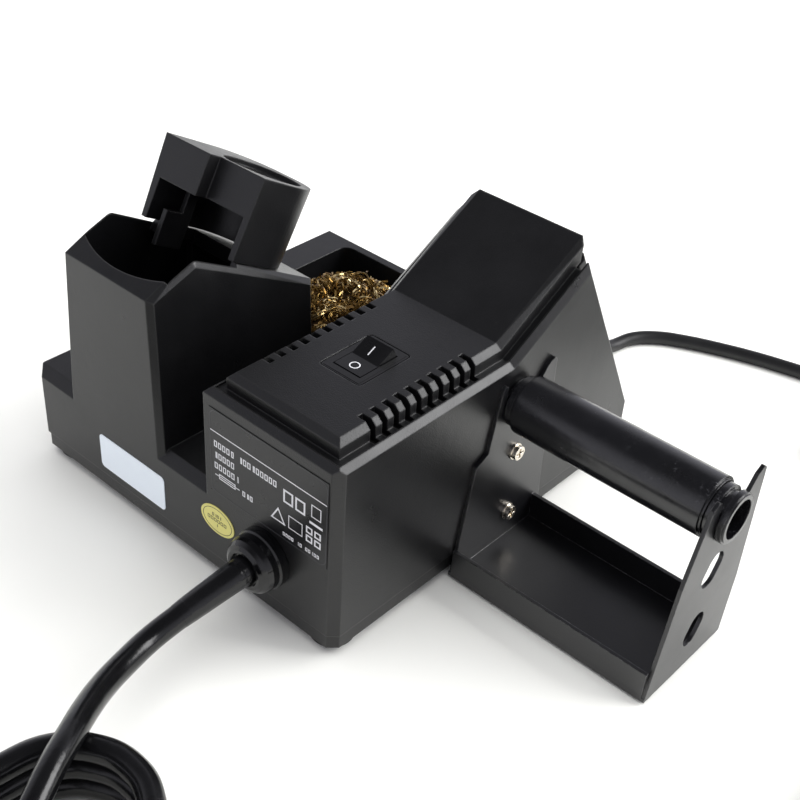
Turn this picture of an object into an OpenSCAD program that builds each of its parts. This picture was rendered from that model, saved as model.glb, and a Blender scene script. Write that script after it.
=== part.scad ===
// Soldering iron station: a one-piece housing with a sloping control unit, a stand tower
// for the iron, a well for brass wool and a sheet-metal solder reel bracket at one side.
// The iron lies beside the station on its own lead, and the mains lead is put away behind.
// Millimetres, +Z up, front towards -Y, tower towards +X, standing on Z = 0.

/* [Base] */
// Width of the housing
base_w = 132; // [130:1:136]
// Depth of the housing at its front lip
base_d = 140; // [138:0.5:142]
// Height of the low part of the housing above its lower edge
ledge_h = 29.5; // [28:0.5:31]
// Height of the upright front lip
lip_h = 12.5; // [12:0.1:13]
// Height of the seam between the base plate and the housing
seam_h = 5; // [4:0.5:6]
// Wall thickness of the moulded parts
wall = 2.5; // [2:0.1:3]
// Radius of the rubber feet
foot_r = 6.5; // [5:0.5:7]
// How far the feet stand out below the base plate
foot_h = 3.5; // [3:0.5:4]

/* [Control unit] */
// Width of the control unit
unit_w = 51; // [50:0.5:52]
// Height of its level side wall
unit_h = 62.2; // [60:0.2:64]
// Depth at which the top starts to climb
fold_d = 70; // [68:1:72]
// Depth of the ridge between the top and the front
ridge_d = 102.5; // [100:0.5:104]
// Angle of the climbing top, and of the front from upright
slope = 29; // [27:0.5:31]
// Bevel along the rim
rim_bevel = 1.8; // [1:0.1:2.5]
// Width of the rim around the lid
rim_w = 2.3; // [2.2:0.1:3]
// Gap between the rim and the raised part of the lid
groove_w = 2.2; // [1.5:0.1:2.4]
// Number of vent slots on each side of the lid
vents = 10; // [6:1:10]

/* [Tower] */
// Distance from the side of the control unit's side wall to the tower
tower_x = 71; // [70:0.5:72]
// Width of the tower at its foot
tower_w = 43.6; // [42:0.2:45]
// Depth of the tower
tower_d = 63; // [62:0.5:65]
// Height of the tower's back edge
tower_back_h = 80; // [78:0.5:82]
// Height of the tower's highest edge
tower_top_h = 88; // [87:0.5:89]
// Depth of the tower's highest edge
tower_top_d = 16.5; // [15:0.5:18]
// Height of the iron holder along its own axis
holder_h = 25.2; // [24:0.2:27]
// Width of the iron holder
holder_w = 35.4; // [34:0.2:35.6]
// Radius of the holder's bore
holder_bore_r = 9.5; // [8.5:0.5:10]

/* [Wool well] */
// Width of the well
well_w = 64; // [60:1:66]
// Depth of the well from back to front
well_d = 59.5; // [56:0.5:60]
// Radius of the ball of brass wool
wool_r = 25; // [20:1:27]

/* [Reel bracket] */
// Distance between the outsides of the two bracket plates
bracket_w = 70; // [66:1:74]
// Sheet thickness of the bracket
sheet_t = 1.2; // [1:0.1:1.5]
// Height of the tray's front and back lips
tray_lip = 10; // [8:1:12]
// Radius of the roller
roller_r = 9; // [8.5:0.1:10]
// Radius of the axle that the roller turns on
axle_r = 7; // [6.5:0.1:7.2]

/* [Switch and keys] */
// Width and length of the rocker switch's frame
switch_size = [14.6, 20.2]; // [14:0.2:21]
// Angle between the rocker's two positions
rocker_swing = 26; // [20:1:28]
// Radius of the front keys
key_r = 3.6; // [3:0.1:4]
// Travel of the front keys
key_travel = 1; // [0.5:0.1:1.5]

/* [Cords] */
// Diameter of the mains lead
mains_dia = 7; // [6:0.5:8]
// Diameter of the iron's lead
iron_dia = 5; // [4.5:0.5:5.5]

/* [Hidden] */
$fn = 48;
nib = 0.01;
fit = 0.3;
run_fit = 0.06;
back_slope = atan((tower_top_h - tower_back_h) / tower_top_d);

// The control unit's outline, seen from the side, and the same outline raised by d
fold_shift = tan(slope / 2);
ridge_z = unit_h + (ridge_d - fold_d) * tan(slope);
function fold_pt(d) = [-(fold_d - d * fold_shift), unit_h + d];
function ridge_pt(d) = [-(ridge_d + d * (cos(slope) - sin(slope))), ridge_z + d * (cos(slope) + sin(slope))];
function ridge_at(up, out) = [
    -ridge_d + up * sin(slope) - out * cos(slope), ridge_z + up * cos(slope) + out * sin(slope)
];
function front_pt(d, z) = [-(ridge_d + (ridge_z - z) * tan(slope) + d / cos(slope)), z];

// The ridge of the lid: the raised top meets the raised control panel
lid_seat = 1.2;
lid_skirt = 4.7;
lid_top = 6.5;
panel_out = 5;
lid_x = rim_w + groove_w;
lid_w = unit_w - 2 * lid_x;
panel_len = 63;

// The tower's cavity and the holder's place on the tower's front slope
cavity_arc_r = 45;
cavity_back = 3.4;
tower_mid_x = tower_x + tower_w / 2 - 1.7;
holder_tilt = slope;
holder_back = -14.5;
holder_mid = -10;
holder_front = 19;
holder_corner_r = 14;
bore_x = 3;
bore_y = 2;
liner_low = 13;

// Wool well
well_x = 56;
well_y = 68;
well_floor = 8;
wool_mid = [91, -98];

// Switch
switch_mid = [25.5, -35.8];
switch_z = unit_h + lid_top;
rocker_pivot_z = switch_z - 1.2;
rocker_w = 9.6;
rocker_l = 14.4;
rocker_rise = 1.3;

// Reel bracket
axle_y = -73.3;
axle_z = 50.5;
plate_in = 0;
plate_out = -bracket_w;
neck_r = axle_r - 0.4;

// Front keys and display, measured down the panel from its upper end
display_s = 19;
keys_s = 41;
keys_x = [13.5, 25.5, 37.5];

// Iron holder frame: origin on the tower's front slope, y up the slope, z along the bore
slope_origin = [tower_mid_x, -39.7, 75.3];

// Mains lead: the bush in the back face, then the route over the hank and into it
bush_at = [26.3, 0, 19.5];
mains_relief_route = [
    [26.3, 7.6, 19.5], [26.3, 11.5, 19.4], [27, 16, 18.2], [28.3, 22, 16.1], [29.2, 26, 14.6],
    [29.48, 28.8, 13.94]
];
mains_route = [
    [29.5, 29, 13.9], [30, 38, 12], [28.2, 47, 12], [24.2, 57, 14.2], [18.4, 66.5, 17.8],
    [12.2, 75.5, 20.9], [6.8, 84.5, 22], [1.4, 94, 20.8], [-3, 104, 17.6], [-6.5, 115, 13],
    [-9.8, 127, 7.6], [-12.5, 140, 3], [-14.5, 153, 0.4], [-16.5, 166, 0], [-19, 178, 0]
];
hank_mid = [-0.5, 89];
hank_run = 112;
hank_fold_r = 21;
hank_layers = 3;
hank_h = hank_layers * mains_dia;
mains_tail = [
    [-21.5, 92, 14], [-25.3, 106, 14], [-35.5, 116.2, 14], [-44.6, 119.6, 14.1], [-49.1, 120, 14.1]
];
plug_at = [-49.5, 120, 14.1];

// Iron lead: the bush in the front lip, the route over the table, its coil and its tail
bush_len = 18.5;
lead_exit = [36, -base_d, 9];
iron_route = [
    [36, -158.7, 9], [36, -161.5, 8.85], [36, -166, 7.4], [36, -176, 2.6], [36, -187, -1],
    [33.5, -197, -1], [27.5, -204.5, -1], [18, -210.5, -1], [7, -215.5, -1], [-5, -220, -1],
    [-17, -223.5, -1], [-30, -226.5, -1], [-43, -228.8, -1], [-56, -230.4, -1], [-68, -231.2, -1],
    [-78, -231.5, -1]
];
coil_mid = [-78, -200];
coil_r = 31.5;
iron_tail = [
    [-109.5, -200, 4], [-110.3, -190, 3.2], [-113.5, -180, 1.6], [-119, -171, 0.8], [-125, -162, 2.2],
    [-129, -153, 4.8], [-129.8, -148.5, 5.95], [-130, -145.2, 6.1]
];
iron_at = [-130, -145, 6.1];
iron_len = 187.2;
grip_r = 9.6;

// Middle of the footprint: the housing with its bracket, and the iron lying beside it
middle_x = (iron_at[0] - grip_r + base_w) / 2;
middle_y = (lead_exit[1] - bush_len + iron_at[1] + iron_len) / 2;

// ---- placing ----

// Housing coordinates: x from the control unit's side wall, -y from the back face,
// z from the housing's lower edge
module at_housing() {
    translate([-middle_x, -middle_y, foot_h]) children();
}

// Extrudes an outline of [y, z] points from x0 to x1
module side_extrude(x0, x1, points) {
    translate([x0, 0, 0])
        rotate([90, 0, 90])
            linear_extrude(x1 - x0) polygon(points);
}

// The front face's frame: origin at the ridge, x across, y up the face, z outwards
module on_front() {
    translate([0, -ridge_d, ridge_z])
        rotate([90 - slope, 0, 0]) children();
}

// The tower's sloping front top: x from its middle, y up the slope, z along the bore
module on_tower_slope() {
    translate(slope_origin)
        rotate([slope, 0, 0]) children();
}

module x_rod(r, x0, x1) {
    translate([x0, 0, 0])
        rotate([0, 90, 0]) cylinder(r = r, h = x1 - x0);
}

// ---- sweeping a cord ----

function unit(v) = v / norm(v);
function tangent(p, i) = unit(p[min(i + 1, len(p) - 1)] - p[max(i - 1, 0)]);
function ring(p, t, r, n) =
    let (s = unit(cross(t, [0, 0, 1])), u = cross(s, t))
    [for (k = [0:n - 1]) p + r * (cos(360 * k / n) * s + sin(360 * k / n) * u)];

// One closed tube through the points p, its radius running from r0 to r1
module swept_tube(p, r0, r1, n) {
    last = len(p) - 1;
    points = [for (i = [0:last]) each ring(p[i], tangent(p, i), r0 + (r1 - r0) * i / last, n)];
    sides = [for (i = [0:last - 1], k = [0:n - 1])
        let (m = (k + 1) % n) [i * n + k, (i + 1) * n + k, (i + 1) * n + m, i * n + m]];
    start_cap = [[for (k = [0:n - 1]) k]];
    end_cap = [[for (k = [n - 1:-1:0]) last * n + k]];
    polyhedron(points = points, faces = concat(start_cap, sides, end_cap), convexity = 4);
}

// ---- housing ----

// Plan outline of the housing with its corners cut, drawn inset by e
module plan(e = 0, cut = 2.6) {
    x0 = e;
    x1 = base_w - e;
    y0 = -base_d + e;
    y1 = -e;
    polygon([
        [x0 + cut, y0], [x1 - cut, y0], [x1, y0 + cut], [x1, y1 - cut],
        [x1 - cut, y1], [x0 + cut, y1], [x0, y1 - cut], [x0, y0 + cut]
    ]);
}

// A rectangle with round corners, made of true arcs
module round_rect(w, d, r) {
    translate([r, 0]) square([w - 2 * r, d]);
    translate([0, r]) square([w, d - 2 * r]);
    for (x = [r, w - r], y = [r, d - r])
        translate([x, y]) circle(r = r);
}

module base_block() {
    back_bevel = 3;
    side_extrude(0, base_w, [
        [0, seam_h], [0, ledge_h - back_bevel], [-back_bevel, ledge_h], front_pt(0, ledge_h),
        [-base_d, lip_h], [-base_d, seam_h]
    ]);
}

// Control unit: straight walls, then a bevelled rim in two runs that meet at the fold
module unit_block() {
    b = rim_bevel;
    low = unit_h - 12;
    side_extrude(0, unit_w, [
        [0, seam_h], [0, unit_h], [-fold_d, unit_h], ridge_pt(0), front_pt(0, lip_h), [-base_d, seam_h]
    ]);
    hull() {
        side_extrude(0, unit_w, [[0, low], [0, unit_h], [-fold_d, unit_h], [-fold_d, low]]);
        side_extrude(b, unit_w - b, [[-b, low], [-b, unit_h + b], fold_pt(b), [-fold_d, low]]);
    }
    hull() {
        side_extrude(0, unit_w, [[-fold_d, low], [-fold_d, unit_h], ridge_pt(0), front_pt(0, 24)]);
        side_extrude(b, unit_w - b, [[-fold_d, low], fold_pt(b), ridge_pt(b), front_pt(b, 27)]);
    }
}

module tower_block() {
    edge = 1.7;
    x0 = tower_x;
    x1 = tower_x + tower_w;
    front_h = 62;
    top_r = 5;
    hull() {
        translate([x0, 0, 15])
            linear_extrude(ledge_h - 15)
                polygon([
                    [edge, 0], [tower_w - edge, 0], [tower_w, -edge], [tower_w, -tower_d + edge],
                    [tower_w - edge, -tower_d], [edge, -tower_d], [0, -tower_d + edge], [0, -edge]
                ]);
        side_extrude(x0 + 1, x1 - 4, [
            [-edge, 70], [-edge, tower_back_h - edge / 2], [-tower_top_d, tower_top_h - 2 * edge],
            [-tower_d + 0.5 + edge, front_h - edge / 2], [-tower_d + 0.5 + edge, 50]
        ]);
        side_extrude(x0 + 1 + edge, x1 - 4 - edge, [
            [0, 70], [0, tower_back_h], [-tower_d + 0.5, front_h], [-tower_d + 0.5, 50]
        ]);
        translate([0, -tower_top_d, tower_top_h - top_r - 0.6])
            x_rod(top_r, x0 + 1 + edge, x1 - 4 - edge, $fn = 32);
    }
}

// Hollow of the tower: straight sides, a shallow arc at the back
module tower_cavity() {
    floor_z = ledge_h + wall;
    mid = tower_mid_x;
    intersection() {
        translate([mid, -cavity_back - cavity_arc_r, floor_z])
            cylinder(r = cavity_arc_r, h = 80, $fn = 96);
        translate([0, 1, 0])
            rotate([90, 0, 0])
                linear_extrude(46)
                    polygon([
                        [mid - 18.6, floor_z], [mid + 20.5, floor_z],
                        [mid + 18, 100], [mid - 18, 100]
                    ]);
    }
    side_extrude(mid - 17, mid + 17, [
        [-44, floor_z], [-tower_d + 3, floor_z], [-tower_d + 3, 58], [-44, 67]
    ]);
}

// Ledges inside the tower that the iron holder stands on
module holder_rests() {
    on_tower_slope()
        for (x = [-22, 15.6])
            translate([x, -16, -4]) cube([6.4, 24, 4]);
}

module well_block() {
    translate([well_x - wall, -well_y - well_d - wall, seam_h + 1])
        cube([well_w + 2 * wall, well_d + 2 * wall, ledge_h - seam_h - 1]);
}

module well_space() {
    translate([well_x, -well_y - well_d, well_floor])
        linear_extrude(60) round_rect(well_w, well_d, 4);
}

// Inside of the low housing and of the control unit
module inner_space() {
    side_extrude(wall, base_w - wall, [
        [-wall, seam_h - 1], [-wall, ledge_h - wall], front_pt(-wall, ledge_h - wall),
        [-base_d + wall, lip_h - 1], [-base_d + wall, seam_h - 1]
    ]);
    side_extrude(wall, unit_w - wall, [
        [-wall, 10], [-wall, unit_h - 3.9], fold_pt(-3.9), ridge_pt(-3.9), front_pt(-3.9, 20)
    ]);
}

// Opening for the lid and the front panel: their seat, and the way through under the lid
module lid_opening() {
    panel_end = -panel_len - 0.5;
    side_extrude(rim_w, unit_w - rim_w, [
        [-rim_w, unit_h - 1.7], [-rim_w, unit_h + 20], [-fold_d, unit_h + 20],
        ridge_pt(25), ridge_at(panel_end, 20), ridge_at(panel_end, 0), ridge_at(-1.7, 0), fold_pt(-1.7)
    ]);
    side_extrude(rim_w + 2, unit_w - rim_w - 2, [
        [-rim_w - 2, unit_h - 6], [-rim_w - 2, unit_h], [-fold_d, unit_h],
        ridge_pt(0) + [8, -3], ridge_pt(-6) + [8, -3], fold_pt(-6)
    ]);
}

module screw_posts() {
    for (p = post_places)
        translate([p[0], p[1], seam_h]) cylinder(r = 4, h = ledge_h - seam_h - 1);
}
post_places = [[5.8, -5.8], [112, -5.8], [5.8, -112], [126.2, -100]];
post_hole_r = 1.3;

module casing() {
    color([0.13, 0.13, 0.14])
        at_housing()
            difference() {
                union() {
                    difference() {
                        intersection() {
                            union() {
                                base_block();
                                unit_block();
                                tower_block();
                            }
                            translate([0, 0, seam_h])
                                linear_extrude(100) plan();
                        }
                        inner_space();
                    }
                    well_block();
                    screw_posts();
                }
                well_space();
                difference() {
                    tower_cavity();
                    holder_rests();
                }
                lid_opening();
                casing_holes();
            }
}

module casing_holes() {
    for (p = post_places)
        translate([p[0], p[1], seam_h - 1]) cylinder(r = post_hole_r, h = 16);
    translate([bush_at[0], 1, bush_at[2]])
        rotate([90, 0, 0]) cylinder(r = 6.2, h = 6);
    translate([lead_exit[0], -base_d + 6, lead_exit[2]])
        rotate([90, 0, 0]) cylinder(r = 3.1, h = 8);
    for (p = bracket_screw_places)
        translate([0, p[0], p[1]]) x_rod(post_hole_r, -1, wall + 1);
    on_front() {
        translate([8, -display_s - 10, -12]) cube([unit_w - 16, 22, 20]);
        translate([8, -keys_s - 7, -12]) cube([unit_w - 16, 14, 20]);
    }
}
bracket_screw_places = [[-74, 31.6], [-74, 8.5]];

module base_plate() {
    color([0.12, 0.12, 0.13])
        at_housing()
            difference() {
                union() {
                    linear_extrude(wall) plan(0.5);
                    difference() {
                        linear_extrude(seam_h) plan(0.5);
                        translate([0, 0, wall]) linear_extrude(seam_h) plan(0.5 + wall);
                    }
                    for (p = post_places)
                        translate([p[0], p[1], 0]) cylinder(r = 4, h = seam_h);
                    for (p = board_posts)
                        translate([p[0], p[1], 0]) cylinder(r = 3, h = board_z);
                }
                for (p = post_places) {
                    translate([p[0], p[1], -1]) cylinder(r = 1.7, h = seam_h + 2);
                    translate([p[0], p[1], -1]) cylinder(r = 3.2, h = 3);
                }
            }
}
board_z = 8;
board_posts = [[10, -22], [41, -22], [10, -98], [41, -98]];

foot_in = 8.2;

module feet() {
    color([0.06, 0.06, 0.06])
        at_housing()
            for (x = [foot_in, base_w - foot_in], y = [-foot_in, -base_d + foot_in])
                translate([x, y, -foot_h]) {
                    cylinder(r1 = foot_r - 0.8, r2 = foot_r, h = 1);
                    translate([0, 0, 1]) cylinder(r = foot_r, h = foot_h - 1);
                }
}

module base_screws() {
    color("silver")
        at_housing()
            for (p = post_places)
                translate([p[0], p[1], 0])
                    difference() {
                        union() {
                            translate([0, 0, 0.3]) cylinder(r = 2.9, h = 1.7);
                            translate([0, 0, 2]) cylinder(r = 1.25, h = 14);
                        }
                        translate([0, 0, -1]) cylinder(r = 1.2, h = 2.2, $fn = 6);
                    }
}

// ---- lid ----

module lid() {
    color([0.14, 0.14, 0.15])
        at_housing()
            difference() {
                union() {
                    lid_raised();
                    side_extrude(rim_w + 0.1, unit_w - rim_w - 0.1, [
                        [-rim_w - 0.1, unit_h - 1.6], [-rim_w - 0.1, unit_h + lid_seat],
                        fold_pt(lid_seat), ridge_pt(lid_seat) + [1.9, -1], ridge_pt(-1.6) + [3, -1.6],
                        fold_pt(-1.6)
                    ]);
                }
                lid_hollow();
                lid_vents();
                translate([switch_mid[0] - 6.6, switch_mid[1] - 9.7, unit_h - 5]) cube([13.2, 19.4, 20]);
                translate([
                    switch_mid[0] - switch_size[0] / 2 - fit, switch_mid[1] - switch_size[1] / 2 - fit,
                    switch_z - 0.8
                ])
                    linear_extrude(5)
                        round_rect(switch_size[0] + 2 * fit, switch_size[1] + 2 * fit, 1.3);
            }
}

// The raised part, in two bevelled runs that meet at the fold
module lid_raised() {
    b = rim_bevel;
    x0 = lid_x;
    x1 = unit_w - lid_x;
    end_low = ridge_pt(lid_seat) + [2, 0.9];
    hull() {
        side_extrude(x0, x1, [
            [-x0, unit_h + lid_seat], [-x0, unit_h + lid_skirt], fold_pt(lid_skirt), fold_pt(lid_seat)
        ]);
        side_extrude(x0 + b, x1 - b, [
            [-x0 - b, unit_h + lid_seat], [-x0 - b, unit_h + lid_top], fold_pt(lid_top),
            fold_pt(lid_seat)
        ]);
    }
    hull() {
        side_extrude(x0, x1, [
            fold_pt(lid_seat), fold_pt(lid_skirt), ridge_pt(lid_skirt) + [0.9, 0.5], ridge_pt(lid_seat)
        ]);
        side_extrude(x0 + b, x1 - b, [
            fold_pt(lid_seat), fold_pt(lid_top), ridge_pt(lid_top), ridge_pt(lid_seat)
        ]);
    }
}

module lid_hollow() {
    side_extrude(lid_x + wall, unit_w - lid_x - wall, [
        [-lid_x - wall, unit_h - 5], [-lid_x - wall, unit_h + 4], fold_pt(4),
        ridge_pt(4) + [4, -2.2], ridge_pt(-5) + [6, -3.3], fold_pt(-5)
    ]);
}

module lid_vents() {
    first = 16.7;
    last = 56.5;
    slot = 2.1;
    slot_l = lid_x + 4.8 - rim_w - 0.3;
    for (i = [0:vents - 1], side = [0, 1])
        translate([
            side == 0 ? rim_w + 0.3 : unit_w - rim_w - 0.3 - slot_l,
            -first - (last - first) * i / (vents - 1) - slot / 2, unit_h - 0.5
        ])
            cube([slot_l, slot, 10]);
}

// ---- front ----

module front_panel() {
    color([0.10, 0.10, 0.11])
        at_housing()
            on_front()
                difference() {
                    hull() {
                        translate([lid_x, -panel_len, 0.05]) cube([lid_w, panel_len, 3.2]);
                        translate([lid_x + rim_bevel, -panel_len + rim_bevel, 0.05])
                            cube([lid_w - 2 * rim_bevel, panel_len - rim_bevel, panel_out - 0.05]);
                    }
                    translate([lid_x + 3, -panel_len + 8, -1]) cube([lid_w - 6, panel_len - 12, 3.5]);
                    translate([unit_w / 2 - 15, -display_s - 7.5, -1]) cube([30, 15, 10]);
                    translate([unit_w / 2 - 16.5, -display_s - 9, panel_out - 1.3]) cube([33, 18, 10]);
                    for (x = keys_x)
                        translate([x, -keys_s, -1]) cylinder(r = key_r + fit, h = 10);
                }
}

module display_window() {
    color([0.2, 0.22, 0.25, 0.5])
        at_housing()
            on_front()
                translate([unit_w / 2 - 16.4, -display_s - 8.9, panel_out - 1.25])
                    cube([32.8, 17.8, 1.2]);
}

module display_module() {
    color([0.05, 0.05, 0.06])
        at_housing()
            on_front()
                difference() {
                    translate([unit_w / 2 - 14.8, -display_s - 7.3, -7.9]) cube([29.6, 14.6, 11.4]);
                    for (i = [0:2])
                        translate([unit_w / 2 - 12.5 + 8.6 * i, -display_s - 5.5, 3.2])
                            segment_digit();
                }
}

// One seven-segment figure, cut as shallow bars
module segment_digit() {
    for (y = [0, 5, 10])
        translate([1, y, 0]) cube([5, 1, 1]);
    for (x = [0, 6], y = [0.6, 5.6])
        translate([x, y, 0]) cube([1, 4.8, 1]);
}

module display_board() {
    color([0.05, 0.25, 0.12])
        at_housing()
            on_front()
                translate([7.4, -keys_s - 6, -9.6]) cube([unit_w - 14.8, keys_s - display_s + 14, 1.6]);
}

module key_cap(x) {
    color([0.30, 0.31, 0.33])
        at_housing()
            on_front()
                translate([x, -keys_s, 0]) {
                    translate([0, 0, 0.6]) cylinder(r = key_r, h = panel_out + 1);
                    translate([0, 0, 0.6]) cylinder(r = key_r + 1, h = 0.8);
                }
}

module key_up() {
    key_cap(keys_x[0]);
}

module key_down() {
    key_cap(keys_x[1]);
}

module key_set() {
    key_cap(keys_x[2]);
}

module key_switches() {
    color([0.1, 0.1, 0.1])
        at_housing()
            on_front()
                for (x = keys_x)
                    translate([x, -keys_s, -8]) {
                        translate([-3, -3, 0]) cube([6, 6, 3.5]);
                        cylinder(r = 1.7, h = 8.5 - key_travel);
                    }
}

// ---- inside ----

module main_board() {
    color([0.10, 0.30, 0.15])
        at_housing()
            difference() {
                translate([6, -103, board_z]) cube([39, 86, 1.6]);
                for (p = board_posts)
                    translate([p[0], p[1], board_z - 1]) cylinder(r = 1.5, h = 4);
            }
}

module power_transformer() {
    color([0.75, 0.62, 0.15])
        at_housing()
            translate([14, -72, board_z + 1.6]) {
                cube([24, 20, 4]);
                translate([3, 3, 4]) cube([18, 14, 13]);
                translate([0, 0, 17]) cube([24, 20, 4]);
            }
}

module filter_capacitor() {
    color([0.1, 0.15, 0.35])
        at_housing()
            translate([15, -42, board_z + 1.6]) cylinder(r = 8, h = 25);
}

module heat_sink() {
    color([0.7, 0.7, 0.72])
        at_housing()
            translate([12, -90, board_z + 1.6]) {
                cube([28, 3, 24]);
                for (i = [0:5])
                    translate([i * 5.2, -6, 0]) cube([2, 6.1, 24]);
            }
}

module fuse_link() {
    color([0.8, 0.8, 0.82])
        at_housing()
            translate([31, -48, board_z + 1.6 + 3])
                rotate([-90, 0, 0]) {
                    cylinder(r = 2.5, h = 20);
                    translate([-2.5, 0, 0]) cube([5, 3, 5]);
                    translate([-2.5, 0, 15]) cube([5, 3, 5]);
                }
}

// ---- switch ----

module switch_body() {
    color([0.04, 0.04, 0.04])
        at_housing()
            translate([switch_mid[0], switch_mid[1], switch_z])
                difference() {
                    union() {
                        translate([-switch_size[0] / 2, -switch_size[1] / 2, -0.8])
                            linear_extrude(0.7) round_rect(switch_size[0], switch_size[1], 1);
                        translate([-6.5, -9.6, -15]) cube([13, 19.2, 15]);
                        for (y = [-7, 0, 7])
                            translate([-2.4, y - 0.4, -22]) cube([4.8, 0.8, 8]);
                    }
                    translate([-rocker_w / 2 - 0.25, -rocker_l / 2 - 0.35, -10])
                        cube([rocker_w + 0.5, rocker_l + 0.7, 20]);
                    translate([0, 0, rocker_pivot_z - switch_z]) x_rod(1.2, -6.1, 6.1);
                }
}

// Rocker: two faces in a shallow V, round ends about the pivot, back half pressed in
module rocker() {
    half = rocker_swing / 2;
    color([0.05, 0.05, 0.05])
        at_housing()
            translate([switch_mid[0], switch_mid[1], rocker_pivot_z])
                rotate([-half, 0, 0]) {
                    intersection() {
                        side_extrude(-rocker_w / 2, rocker_w / 2, [
                            [-9, -5], [9, -5], [9, rocker_rise + 9 * tan(half)], [0, rocker_rise],
                            [-9, rocker_rise + 9 * tan(half)]
                        ]);
                        x_rod(rocker_l / 2, -rocker_w / 2, rocker_w / 2, $fn = 64);
                    }
                    x_rod(1.2 - run_fit, -6, 6);
                }
}

// ---- labels ----

module rating_label() {
    color([0.05, 0.05, 0.06])
        at_housing()
            translate([3.2, 0, 29.9]) cube([45.4, 0.2, 29]);
}

module blank_sticker() {
    color([0.95, 0.95, 0.96])
        at_housing()
            translate([70.2, 0.2, 8])
                rotate([90, 0, 0]) linear_extrude(0.2) round_rect(30.5, 12.5, 1.5);
}

module round_sticker() {
    color([0.85, 0.83, 0.35])
        at_housing()
            translate([46.5, 0.2, 19.3])
                rotate([90, 0, 0])
                    linear_extrude(0.2)
                        polygon([for (a = [0:7.5:352.5]) [7 * cos(a), 4.9 * sin(a)]]);
}

// ---- iron holder ----

// Plan of the holder in its own frame: straight sides, open back, round front corners
module holder_plan(e = 0) {
    w = holder_w / 2 - e;
    r = holder_corner_r - e;
    front = -holder_front + e;
    translate([-w, front + r]) square([2 * w, -holder_mid - front - r]);
    translate([-w + r, front]) square([2 * (w - r), r + 1]);
    for (s = [-1, 1])
        translate([s * (w - r), front + r]) circle(r = r, $fn = 64);
}

module iron_holder() {
    pad_h = 12.5;
    skin = 2;
    color([0.09, 0.09, 0.10])
        at_housing()
            on_tower_slope()
                difference() {
                    union() {
                        difference() {
                            hull() {
                                linear_extrude(nib) holder_plan();
                                translate([0.6, 0, holder_h - nib]) linear_extrude(nib) holder_plan(-1);
                            }
                            translate([0, 0, -1]) linear_extrude(holder_h - pad_h + 1) holder_plan(skin);
                            translate([-holder_w / 2 + skin, 5, -1])
                                cube([holder_w - 2 * skin, 20, holder_h - pad_h + 1]);
                        }
                        translate([holder_w / 2, -holder_back, 0])
                            rotate([90, 0, 0])
                                linear_extrude(holder_mid - holder_back + 1)
                                    polygon([
                                        [-skin, 0], [-0.1, 0], [1.5, holder_h], [-17.5, holder_h],
                                        [-17.5, pad_h], [-skin, pad_h]
                                    ]);
                        translate([10.5, 2, -6.4]) cube([1.6, 10.4, 11]);
                        translate([10.5, 2, -6.4]) cube([1.6, 4, 20]);
                    }
                    translate([-bore_x, -bore_y, -1]) cylinder(r = holder_bore_r, h = holder_h + 2);
                    translate([-15.4, -15.5, holder_h - 1.6]) linear_extrude(4) round_rect(22.4, 24, 10.5);
                }
}

module holder_liner() {
    color([0.6, 0.6, 0.62])
        at_housing()
            on_tower_slope()
                translate([-bore_x, -bore_y, liner_low])
                    difference() {
                        cylinder(r = holder_bore_r, h = holder_h - liner_low - 1.8);
                        translate([0, 0, -1]) cylinder(r = holder_bore_r - 0.8, h = holder_h + 2);
                    }
}

module brass_wool() {
    h = 28;
    color([0.80, 0.62, 0.25])
        at_housing()
            translate([wool_mid[0], wool_mid[1], well_floor + 0.2])
                rotate_extrude()
                    polygon([
                        [0, 0], [wool_r - 4, 0], [wool_r, 5], [wool_r, h - 9], [wool_r - 3, h - 3.5],
                        [wool_r - 9, h], [9, h], [6, h - 5], [0, h - 7]
                    ]);
}

// ---- reel bracket ----

// Outline of a bracket plate as [y, z] points, without its cradle
function plate_outline(back_low, front_low, step) = [
    [back_low, 1 - foot_h], [-55.8, 35], [-55.8 - step, 35 + step / 2], [-62.8 - step / 3, 57.5],
    [-65.5, 59], [-67, 58], [-67, 46], [-79.6, 46], [-79.6, 49.5], [-85.6, 57], [-88.4, 58.4],
    [-89.6, 57.4], [-90, 18], [front_low, 1 - foot_h]
];

module bracket_plate(x, outline) {
    difference() {
        side_extrude(x, x + sheet_t, outline);
        translate([0, axle_y, axle_z]) x_rod(neck_r + 0.1, x - 1, x + sheet_t + 1);
        translate([x - 1, axle_y - neck_r - 0.1, axle_z]) cube([sheet_t + 2, 2 * neck_r + 0.2, 30]);
    }
}

module oval_slot(x, p, q, r) {
    hull() {
        translate([0, p[0], p[1]]) x_rod(r, x - 1, x + sheet_t + 1, $fn = 24);
        translate([0, q[0], q[1]]) x_rod(r, x - 1, x + sheet_t + 1, $fn = 24);
    }
}

module reel_bracket() {
    bottom = 1 - foot_h;
    x_in = -sheet_t;
    color([0.08, 0.08, 0.09])
        at_housing()
            difference() {
                union() {
                    bracket_plate(x_in, plate_outline(-49.5, -91, 5));
                    bracket_plate(plate_out, plate_outline(-49, -88, 0));
                    translate([plate_out, -88, bottom]) cube([bracket_w, 39, sheet_t]);
                    for (y = [-49 - sheet_t, -88])
                        translate([plate_out + 1, y, bottom]) cube([bracket_w - 2, sheet_t, tray_lip]);
                }
                for (p = bracket_screw_places)
                    translate([0, p[0], p[1]]) x_rod(1.7, -4, 1);
                oval_slot(plate_out, [-72.7, 33.6], [-70.8, 30.4], 3.9);
                oval_slot(plate_out, [-70.4, 12.8], [-68.6, 9.7], 3.7);
            }
}

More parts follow.
